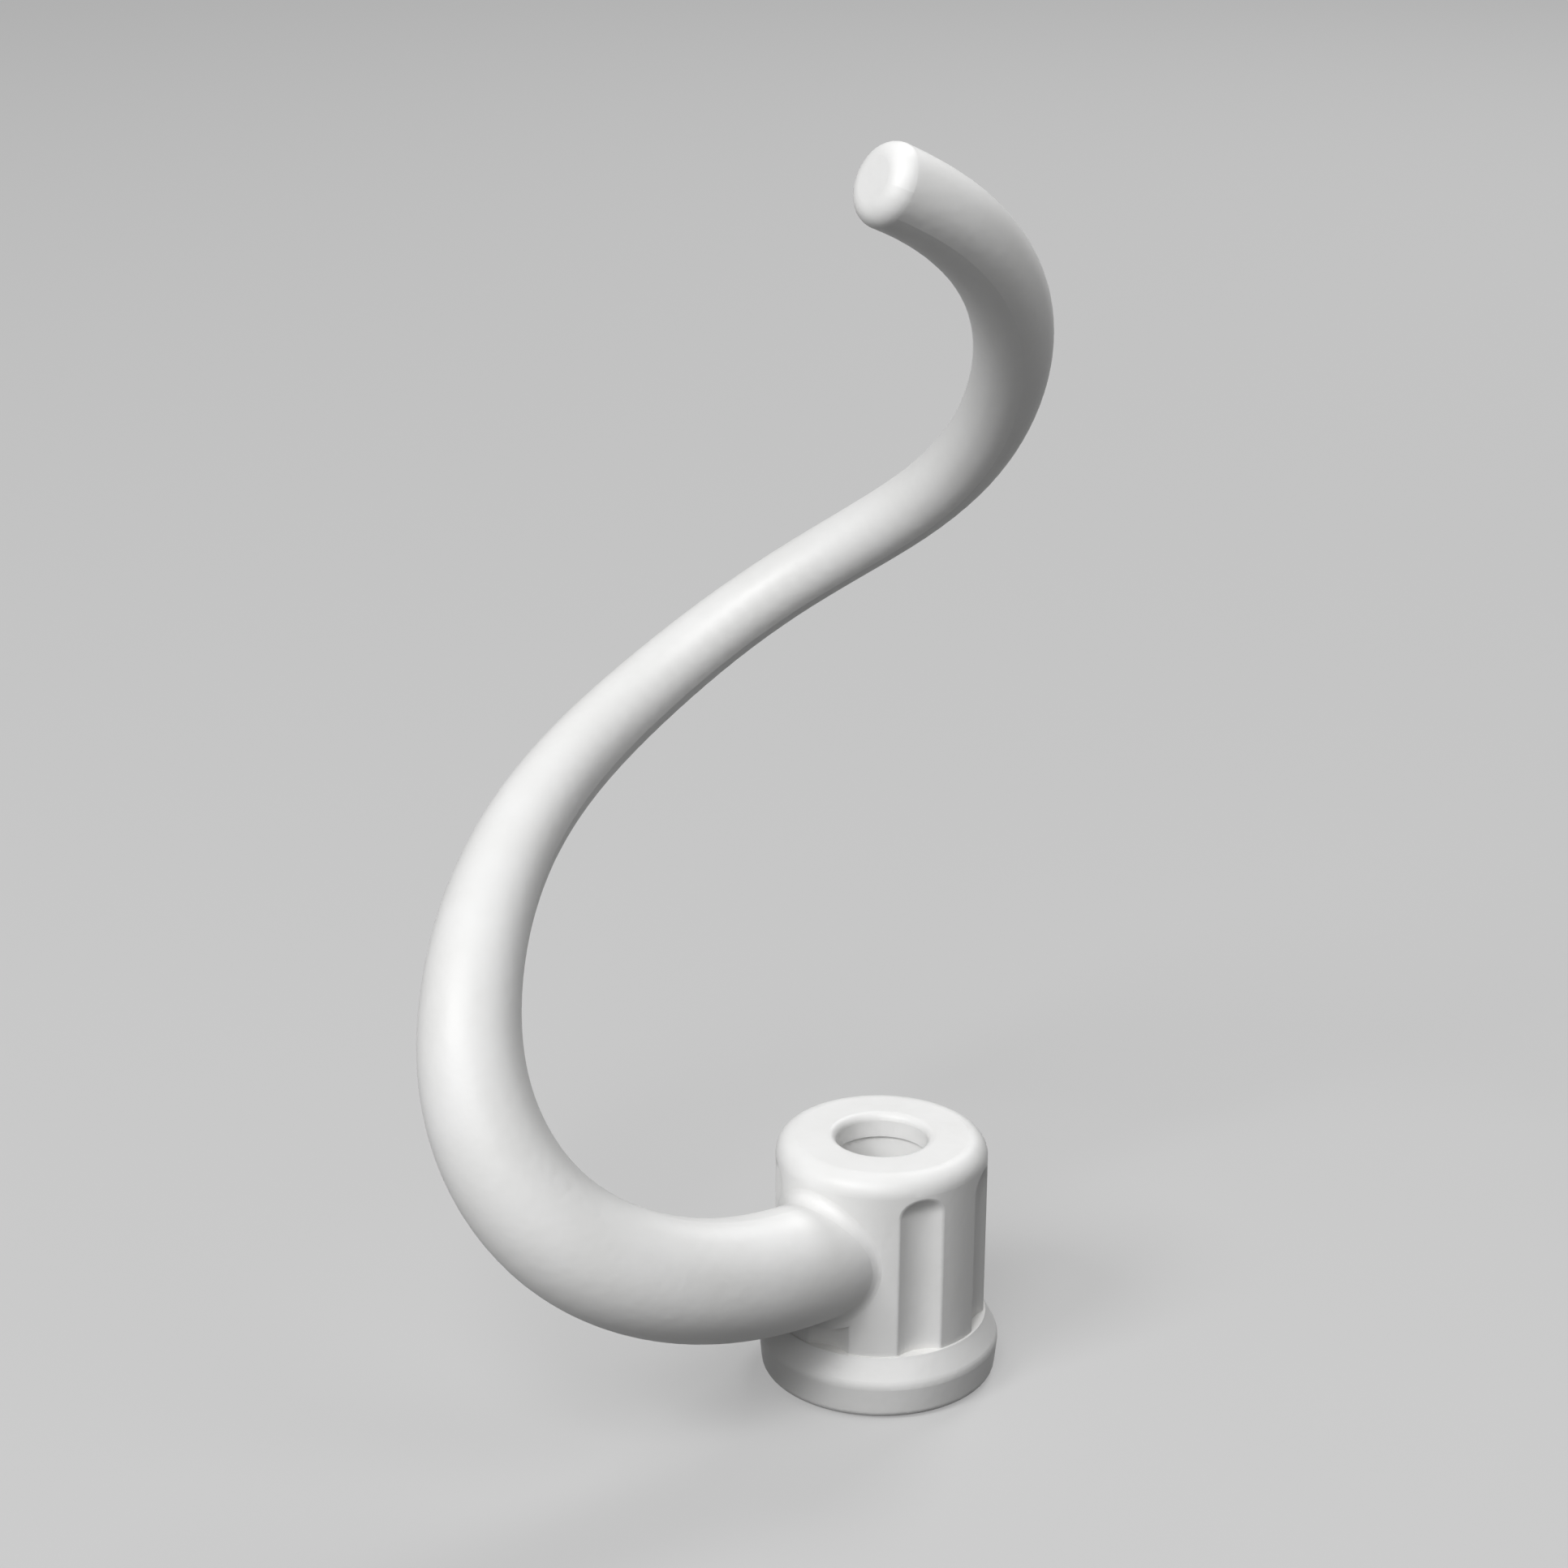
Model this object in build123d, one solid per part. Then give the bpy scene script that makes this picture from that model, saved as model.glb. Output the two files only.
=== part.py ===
from build123d import *
import os

# Dough hook for a stand mixer: a fluted socket hub and a spiral arm, cast as one piece.
# Millimetres. The socket runs along Z, its collar seats on Z = 0 and the hook rises from it.

# Socket that slips over the mixer's shaft
SHAFT_DIAMETER = 12.7
SHAFT_PLAY = 0.2
HUB_DIAMETER = 28.0
HUB_HEIGHT = 33.7
HUB_TOP_ROUND = 2.6
CAP_THICKNESS = 3.3
CAP_LIP = 0.35
CAP_HOLE_ROUND = 1.0
MOUTH_CHAMFER = 0.8

# Collar round the foot of the hub, with a sloped shoulder
COLLAR_HEIGHT = 8.3
COLLAR_SIDE_HEIGHT = 5.0
COLLAR_OVERHANG = 2.05
COLLAR_LEDGE = 0.3
COLLAR_DRAFT = 0.5
COLLAR_SHOULDER_ROUND = 2.0
COLLAR_FOOT_ROUND = 1.2

# Finger grips: upright scallops all round the hub
FLUTE_COUNT = 7
FLUTE_RADIUS = 5.7
FLUTE_DEPTH = 1.2
FLUTE_TOP_GAP = 2.6
FLUTE_TOP_ROUND = 3.0
FLUTE_EDGE_ROUND = 0.6
FLUTE_FIRST_ANGLE = -68.7
FLUTE_UNDER_ARM = 6
FLUTE_ARM_GAP = 1.8

# Bayonet that takes the cross pin of the shaft
PIN_DIAMETER = 4.8
PIN_PLAY = 0.4
PIN_REACH = 4.0
KEYWAY_ANGLE = 226.0
KEYWAY_TOP = 22.0
POCKET_FLOOR = 14.0
POCKET_TURN = 70.0

# Spiral arm: round section, thick at the hub, thinnest before the last curl
ARM_ROOT_HEIGHT = 20.5
ARM_ROOT_DIAMETER = 15.9
ARM_BOW_DIAMETER = 11.0
ARM_WAIST_DIAMETER = 8.9
ARM_TIP_DIAMETER = 10.2
ARM_BOW_TAPER = (0.14, 0.46)
ARM_WAIST_TAPER = (0.37, 0.64)
ARM_TIP_SWELL = (0.72, 0.93)
ARM_TIP_LENGTH = 2.4
ARM_TIP_ROUND = 2.3
ARM_ROOT_BLEND = 1.6
ARM_SECTIONS = 24
ARM_STATIONS = (
    (-17.0, -18.0, 22.0),
    (-32.5, -26.5, 27.5),
    (-43.5, -28.0, 36.0),
    (-51.0, -23.5, 49.5),
    (-52.0, -15.5, 61.0),
    (-46.0, 4.0, 76.0),
    (-32.5, 21.5, 87.0),
    (-16.0, 27.5, 99.0),
    (-4.5, 26.0, 107.0),
    (6.0, 20.5, 116.0),
    (14.0, 0.0, 140.0),
    (10.0, -12.5, 152.5),
    (-2.0, -24.0, 163.0),
)

HUB_RADIUS = HUB_DIAMETER / 2
COLLAR_RADIUS = HUB_RADIUS + COLLAR_OVERHANG
BORE_RADIUS = (SHAFT_DIAMETER + SHAFT_PLAY) / 2
CAP_HOLE_RADIUS = BORE_RADIUS - CAP_LIP
CAP_UNDERSIDE = HUB_HEIGHT - CAP_THICKNESS
POCKET_RADIUS = BORE_RADIUS + PIN_REACH
FLUTE_TOP = HUB_HEIGHT - FLUTE_TOP_GAP
UPRIGHT = (Align.CENTER, Align.CENTER, Align.MIN)


def ease(position, stretch):
    """Smooth step from 0 to 1 over a stretch of the arm."""
    start, end = stretch
    share = min(max((position - start) / (end - start), 0.0), 1.0)
    return share * share * (3.0 - 2.0 * share)


def arm_radius(position):
    bow = (ARM_BOW_DIAMETER - ARM_ROOT_DIAMETER) * ease(position, ARM_BOW_TAPER)
    waist = (ARM_WAIST_DIAMETER - ARM_BOW_DIAMETER) * ease(position, ARM_WAIST_TAPER)
    tip = (ARM_TIP_DIAMETER - ARM_WAIST_DIAMETER) * ease(position, ARM_TIP_SWELL)
    return (ARM_ROOT_DIAMETER + bow + waist + tip) / 2


def arm_path():
    return Spline((0.0, 0.0, ARM_ROOT_HEIGHT), *ARM_STATIONS)


def arm_solid(path, grow):
    """Round bar along the path; grow thickens it all round."""
    sections = []
    side = Vector(0, 0, 1)
    for step in range(ARM_SECTIONS + 1):
        position = step / ARM_SECTIONS
        ahead = path % position
        side = (side - ahead * side.dot(ahead)).normalized()
        plane = Plane(origin=path @ position, x_dir=side, z_dir=ahead)
        sections.append(plane * Circle(arm_radius(position) + grow))
    return loft(sections)


def arm_tip(path):
    """Blunt end of the bar, flat with a rounded edge."""
    bar = Cylinder(ARM_TIP_DIAMETER / 2, ARM_TIP_LENGTH, align=UPRIGHT)
    bar = fillet(bar.edges().filter_by(GeomType.CIRCLE).sort_by(Axis.Z)[-1], ARM_TIP_ROUND)
    return Plane(origin=path @ 1, z_dir=path % 1) * bar


def hub_post():
    """Round post with a rounded top, before any opening."""
    post = Cylinder(HUB_RADIUS, HUB_HEIGHT, align=UPRIGHT)
    return fillet(post.edges().filter_by(GeomType.CIRCLE).sort_by(Axis.Z)[-1], HUB_TOP_ROUND)


def flute_cutter(index):
    """Round bar that cuts one flute; the flute under the arm ends inside the arm's root."""
    top = ARM_ROOT_HEIGHT if index == FLUTE_UNDER_ARM else FLUTE_TOP
    cutter = Cylinder(FLUTE_RADIUS, top + COLLAR_HEIGHT, align=UPRIGHT)
    cutter = fillet(cutter.edges().filter_by(GeomType.CIRCLE).sort_by(Axis.Z)[-1], FLUTE_TOP_ROUND)
    angle = FLUTE_FIRST_ANGLE + index * 360.0 / FLUTE_COUNT
    out = HUB_RADIUS + FLUTE_RADIUS - FLUTE_DEPTH
    return Rot(0, 0, angle) * Pos(out, 0, -COLLAR_HEIGHT) * cutter


def fluted_post():
    """Post with all its flutes cut down through the foot and their rims rounded."""
    post = hub_post()
    cutters = [flute_cutter(index) for index in range(FLUTE_COUNT)]
    fluted = post - cutters
    rims = new_edges(post, *cutters, combined=fluted)
    return fillet(rims.filter_by_position(Axis.Z, COLLAR_SIDE_HEIGHT, HUB_HEIGHT), FLUTE_EDGE_ROUND)


def collar():
    outline = Polyline(
        (0, 0),
        (COLLAR_RADIUS - COLLAR_DRAFT, 0),
        (COLLAR_RADIUS, COLLAR_SIDE_HEIGHT),
        (HUB_RADIUS + COLLAR_LEDGE, COLLAR_HEIGHT),
        (0, COLLAR_HEIGHT),
        close=True,
    )
    face = make_face(outline)
    corners = (
        ((COLLAR_RADIUS - COLLAR_DRAFT, 0), COLLAR_FOOT_ROUND),
        ((COLLAR_RADIUS, COLLAR_SIDE_HEIGHT), COLLAR_SHOULDER_ROUND),
    )
    for corner, radius in corners:
        face = fillet(face.vertices().sort_by_distance((*corner, 0))[0], radius)
    return revolve(Plane.XZ * face, Axis.Z)


def socket():
    """Stepped bore, open at both ends, with the bayonet track for the cross pin."""
    bore = Cylinder(BORE_RADIUS, CAP_UNDERSIDE, align=UPRIGHT)
    hole = Cylinder(CAP_HOLE_RADIUS, HUB_HEIGHT, align=UPRIGHT)
    mouth = Cone(BORE_RADIUS + MOUTH_CHAMFER, BORE_RADIUS, MOUTH_CHAMFER, align=UPRIGHT)
    keyway = Box(
        POCKET_RADIUS,
        PIN_DIAMETER + PIN_PLAY,
        KEYWAY_TOP,
        align=(Align.MIN, Align.CENTER, Align.MIN),
    )
    pocket = Cylinder(
        POCKET_RADIUS,
        KEYWAY_TOP - POCKET_FLOOR,
        arc_size=POCKET_TURN,
        align=(Align.NONE, Align.NONE, Align.MIN),
    )
    track = Rot(0, 0, KEYWAY_ANGLE) * (keyway + Pos(0, 0, POCKET_FLOOR) * pocket)
    return bore + hole + mouth + track


# The hub keeps its full round under and beside the arm, where the flutes stop short of it.
path = arm_path()
arm_pad = hub_post() & arm_solid(path, FLUTE_ARM_GAP)
hook = fluted_post() + arm_pad + collar() + arm_solid(path, 0.0) + arm_tip(path)

# The arm grows out of the hub wall with a small cast radius all round its root.
arm_skin = hook.faces().filter_by(GeomType.BSPLINE).sort_by(SortBy.AREA)[-1]
hook = fillet(arm_skin.edges().filter_by_position(Axis.Z, 0, HUB_HEIGHT), ARM_ROOT_BLEND)

hook -= socket()
top_face = hook.faces().filter_by(Axis.Z).sort_by(Axis.Z)[-1]
hook = fillet(top_face.inner_wires()[0].edges(), CAP_HOLE_ROUND)

os.makedirs("parts", exist_ok=True)
export_step(hook, "parts/dough_hook.step")
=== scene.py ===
import bmesh
import bpy
import math
from mathutils import Matrix, Vector

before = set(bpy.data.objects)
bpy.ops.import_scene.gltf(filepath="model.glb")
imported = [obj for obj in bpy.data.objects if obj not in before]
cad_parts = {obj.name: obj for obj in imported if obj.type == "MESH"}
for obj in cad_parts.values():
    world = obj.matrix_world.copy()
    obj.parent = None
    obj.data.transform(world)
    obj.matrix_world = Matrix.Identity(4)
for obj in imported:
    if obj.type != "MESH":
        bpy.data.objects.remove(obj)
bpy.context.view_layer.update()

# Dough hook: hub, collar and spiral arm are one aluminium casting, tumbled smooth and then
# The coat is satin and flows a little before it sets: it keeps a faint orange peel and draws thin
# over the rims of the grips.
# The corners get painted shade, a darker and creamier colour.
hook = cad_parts["dough_hook"]
enamel = bpy.data.materials.new("white_baked_enamel")
enamel.use_nodes = True
enamel_nodes = enamel.node_tree.nodes
enamel_links = enamel.node_tree.links
enamel_shader = enamel_nodes["Principled BSDF"]
enamel_shader.inputs["IOR"].default_value = 1.5
enamel_place = enamel_nodes.new("ShaderNodeTexCoord")

# The coat's thickness drifts over about a centimetre, which shifts its tone and its gloss.
lean_level = 0.30
lean_tone = (0.798, 0.797, 0.788, 1.0)
lean_roughness = 0.42
full_level = 0.70
full_tone = (0.842, 0.842, 0.838, 1.0)
full_roughness = 0.54
flow = enamel_nodes.new("ShaderNodeTexNoise")
flow.inputs["Scale"].default_value = 90.0
flow.inputs["Detail"].default_value = 4.0
flow.inputs["Roughness"].default_value = 0.6
enamel_links.new(enamel_place.outputs["Object"], flow.inputs["Vector"])

flow_tone = enamel_nodes.new("ShaderNodeValToRGB")
lean_stop, full_stop = flow_tone.color_ramp.elements
lean_stop.position = lean_level
lean_stop.color = lean_tone
full_stop.position = full_level
full_stop.color = full_tone
enamel_links.new(flow.outputs["Fac"], flow_tone.inputs["Fac"])

flow_gloss = enamel_nodes.new("ShaderNodeMapRange")
flow_gloss.inputs["From Min"].default_value = lean_level
flow_gloss.inputs["From Max"].default_value = full_level
flow_gloss.inputs["To Min"].default_value = lean_roughness
flow_gloss.inputs["To Max"].default_value = full_roughness
enamel_links.new(flow.outputs["Fac"], flow_gloss.inputs["Value"])
enamel_links.new(flow_gloss.outputs["Result"], enamel_shader.inputs["Roughness"])

# Rims: where the rounded normal leaves the surface's own, the coat is thin and a little grey.
rim_radius = 0.0011
rim_grey = (0.700, 0.702, 0.704, 1.0)
rim_share = 0.45
rim_start = 0.995
rim_full = 0.93
rim_round = enamel_nodes.new("ShaderNodeBevel")
rim_round.samples = 6
rim_round.inputs["Radius"].default_value = rim_radius
rim_face = enamel_nodes.new("ShaderNodeNewGeometry")
rim_turn = enamel_nodes.new("ShaderNodeVectorMath")
rim_turn.operation = "DOT_PRODUCT"
enamel_links.new(rim_round.outputs["Normal"], rim_turn.inputs[0])
enamel_links.new(rim_face.outputs["Normal"], rim_turn.inputs[1])

rim_mask = enamel_nodes.new("ShaderNodeMapRange")
rim_mask.inputs["From Min"].default_value = rim_start
rim_mask.inputs["From Max"].default_value = rim_full
rim_mask.inputs["To Max"].default_value = rim_share
enamel_links.new(rim_turn.outputs["Value"], rim_mask.inputs["Value"])

rim_tone = enamel_nodes.new("ShaderNodeMix")
rim_tone.data_type = "RGBA"
rim_tone.inputs["B"].default_value = rim_grey
enamel_links.new(rim_mask.outputs["Result"], rim_tone.inputs["Factor"])
enamel_links.new(flow_tone.outputs["Color"], rim_tone.inputs["A"])

# Corners: painted shade. Where the AO finds the bore, the feet of the grips and the arm's root
# enclosed, the colour goes darker and creamier.
corner_reach = 0.005
painted_corner_shade_tone = (0.735, 0.725, 0.700, 1.0)
painted_corner_shade_share = 0.6
corner_start = 0.85
corner_full = 0.35
corner_shade = enamel_nodes.new("ShaderNodeAmbientOcclusion")
corner_shade.samples = 8
corner_shade.only_local = True
corner_shade.inputs["Distance"].default_value = corner_reach

painted_corner_shade_mask = enamel_nodes.new("ShaderNodeMapRange")
painted_corner_shade_mask.inputs["From Min"].default_value = corner_start
painted_corner_shade_mask.inputs["From Max"].default_value = corner_full
painted_corner_shade_mask.inputs["To Max"].default_value = painted_corner_shade_share
enamel_links.new(corner_shade.outputs["AO"], painted_corner_shade_mask.inputs["Value"])

# The painted corner shade is mixed over the coat colour here.
painted_corner_shade_mix = enamel_nodes.new("ShaderNodeMix")
painted_corner_shade_mix.data_type = "RGBA"
painted_corner_shade_mix.inputs["B"].default_value = painted_corner_shade_tone
enamel_links.new(painted_corner_shade_mask.outputs["Result"], painted_corner_shade_mix.inputs["Factor"])
enamel_links.new(rim_tone.outputs["Result"], painted_corner_shade_mix.inputs["A"])
enamel_links.new(painted_corner_shade_mix.outputs["Result"], enamel_shader.inputs["Base Color"])

# Orange peel: low, soft grains of about a millimetre and a half.
peel_height = 0.0001
peel = enamel_nodes.new("ShaderNodeTexNoise")
peel.inputs["Scale"].default_value = 700.0
peel.inputs["Detail"].default_value = 1.0
enamel_links.new(enamel_place.outputs["Object"], peel.inputs["Vector"])

peel_bump = enamel_nodes.new("ShaderNodeBump")
peel_bump.inputs["Strength"].default_value = 0.35
peel_bump.inputs["Distance"].default_value = peel_height
enamel_links.new(peel.outputs["Fac"], peel_bump.inputs["Height"])
enamel_links.new(peel_bump.outputs["Normal"], enamel_shader.inputs["Normal"])

hook.data.materials.clear()
hook.data.materials.append(enamel)

# Studio floor: a wide sheet of matt pale board, laid just under the collar. It looks pale to the
# camera and in reflections, and sends little light back up under the hook.
floor_size = 12.0
floor_drop = 0.0002
floor_mesh = bpy.data.meshes.new("floor")
floor_form = bmesh.new()
bmesh.ops.create_grid(floor_form, x_segments=1, y_segments=1, size=floor_size / 2)
bmesh.ops.translate(floor_form, verts=floor_form.verts, vec=(0.0, 0.0, -floor_drop))
floor_form.to_mesh(floor_mesh)
floor_form.free()
floor = bpy.data.objects.new("floor", floor_mesh)
bpy.context.scene.collection.objects.link(floor)


def seen_directly(nodes, links):
    """1 on rays that show a surface to the eye: straight, in a reflection or through glass."""
    rays = nodes.new("ShaderNodeLightPath")
    reflected = nodes.new("ShaderNodeMath")
    reflected.operation = "MAXIMUM"
    links.new(rays.outputs["Is Camera Ray"], reflected.inputs[0])
    links.new(rays.outputs["Is Glossy Ray"], reflected.inputs[1])
    seen = nodes.new("ShaderNodeMath")
    seen.operation = "MAXIMUM"
    links.new(reflected.outputs["Value"], seen.inputs[0])
    links.new(rays.outputs["Is Transmission Ray"], seen.inputs[1])
    return seen.outputs["Value"]


board_unseen_tone = (0.10, 0.10, 0.10, 1.0)
board_seen_tone = (0.26, 0.26, 0.26, 1.0)
board_seen_glow = 0.34
board = bpy.data.materials.new("pale_board")
board.use_nodes = True
board_nodes = board.node_tree.nodes
board_links = board.node_tree.links
board_shader = board_nodes["Principled BSDF"]
board_shader.inputs["Roughness"].default_value = 0.9
board_shader.inputs["Specular IOR Level"].default_value = 0.0
board_shader.inputs["Emission Color"].default_value = (1.0, 1.0, 1.0, 1.0)
board_seen = seen_directly(board_nodes, board_links)

board_tone = board_nodes.new("ShaderNodeMix")
board_tone.data_type = "RGBA"
board_tone.inputs["A"].default_value = board_unseen_tone
board_tone.inputs["B"].default_value = board_seen_tone
board_links.new(board_seen, board_tone.inputs["Factor"])
board_links.new(board_tone.outputs["Result"], board_shader.inputs["Base Color"])

board_glow = board_nodes.new("ShaderNodeMath")
board_glow.operation = "MULTIPLY"
board_glow.inputs[1].default_value = board_seen_glow
board_links.new(board_seen, board_glow.inputs[0])
board_links.new(board_glow.outputs["Value"], board_shader.inputs["Emission Strength"])
floor_mesh.materials.append(board)

# Studio light: square soft boxes round the hook, the strongest high on the left in front, a small
# one close over the end of the arm, one behind, and a room that is pale where it is seen.
room_unseen_strength = 0.055
room_seen_strength = 0.42
room = bpy.data.worlds.new("studio_room")
room.use_nodes = True
room_nodes = room.node_tree.nodes
room_links = room.node_tree.links
room_light = room_nodes["Background"]
room_light.inputs["Color"].default_value = (1.0, 1.0, 1.0, 1.0)
room_strength = room_nodes.new("ShaderNodeMapRange")
room_strength.inputs["To Min"].default_value = room_unseen_strength
room_strength.inputs["To Max"].default_value = room_seen_strength
room_links.new(seen_directly(room_nodes, room_links), room_strength.inputs["Value"])
room_links.new(room_strength.outputs["Result"], room_light.inputs["Strength"])
bpy.context.scene.world = room


def soft_box(name, aim, azimuth, elevation, power, distance=1.6, size=0.55):
    """Square lamp facing its aim point; azimuth is seen from the camera, + to the right."""
    turn = math.radians(azimuth)
    rise = math.radians(elevation)
    away = Vector((math.sin(turn) * math.cos(rise), -math.cos(turn) * math.cos(rise), math.sin(rise)))
    light = bpy.data.lights.new(name, "AREA")
    light.shape = "SQUARE"
    light.size = size
    light.energy = power
    lamp = bpy.data.objects.new(name, light)
    lamp.location = aim + away * distance
    lamp.rotation_euler = away.to_track_quat("Z", "Y").to_euler()
    bpy.context.scene.collection.objects.link(lamp)


hook_middle = Vector((-0.02, 0.0, 0.07))
arm_end = Vector((0.008, -0.005, 0.145))
soft_box("key_box", hook_middle, azimuth=-45.0, elevation=40.0, power=13.5)
soft_box("front_box", hook_middle, azimuth=-15.0, elevation=52.0, power=7.7)
soft_box("low_box", hook_middle, azimuth=-12.0, elevation=31.0, power=4.2)
soft_box("arm_end_box", arm_end, azimuth=55.0, elevation=45.0, power=0.15, distance=0.24, size=0.16)
soft_box("back_box", hook_middle, azimuth=155.0, elevation=42.0, power=9.0)

# Camera: a long lens in front of the hook, looking 20 degrees down on it at the photograph's
# angle, with the photograph's slight lean.
camera_place = (-0.01331, -0.41372, 0.23318)
camera_pitch = math.radians(70.0)
camera_lean = math.radians(0.5)
camera_data = bpy.data.cameras.new("camera")
camera_data.sensor_width = 36.0
camera_data.lens = 79.7
camera_data.clip_start = 0.01
camera = bpy.data.objects.new("camera", camera_data)
camera_turn = Matrix.Rotation(camera_pitch, 4, "X") @ Matrix.Rotation(camera_lean, 4, "Z")
camera.matrix_world = Matrix.Translation(camera_place) @ camera_turn
bpy.context.scene.collection.objects.link(camera)
bpy.context.scene.camera = camera
bpy.context.scene.view_settings.view_transform = "Standard"
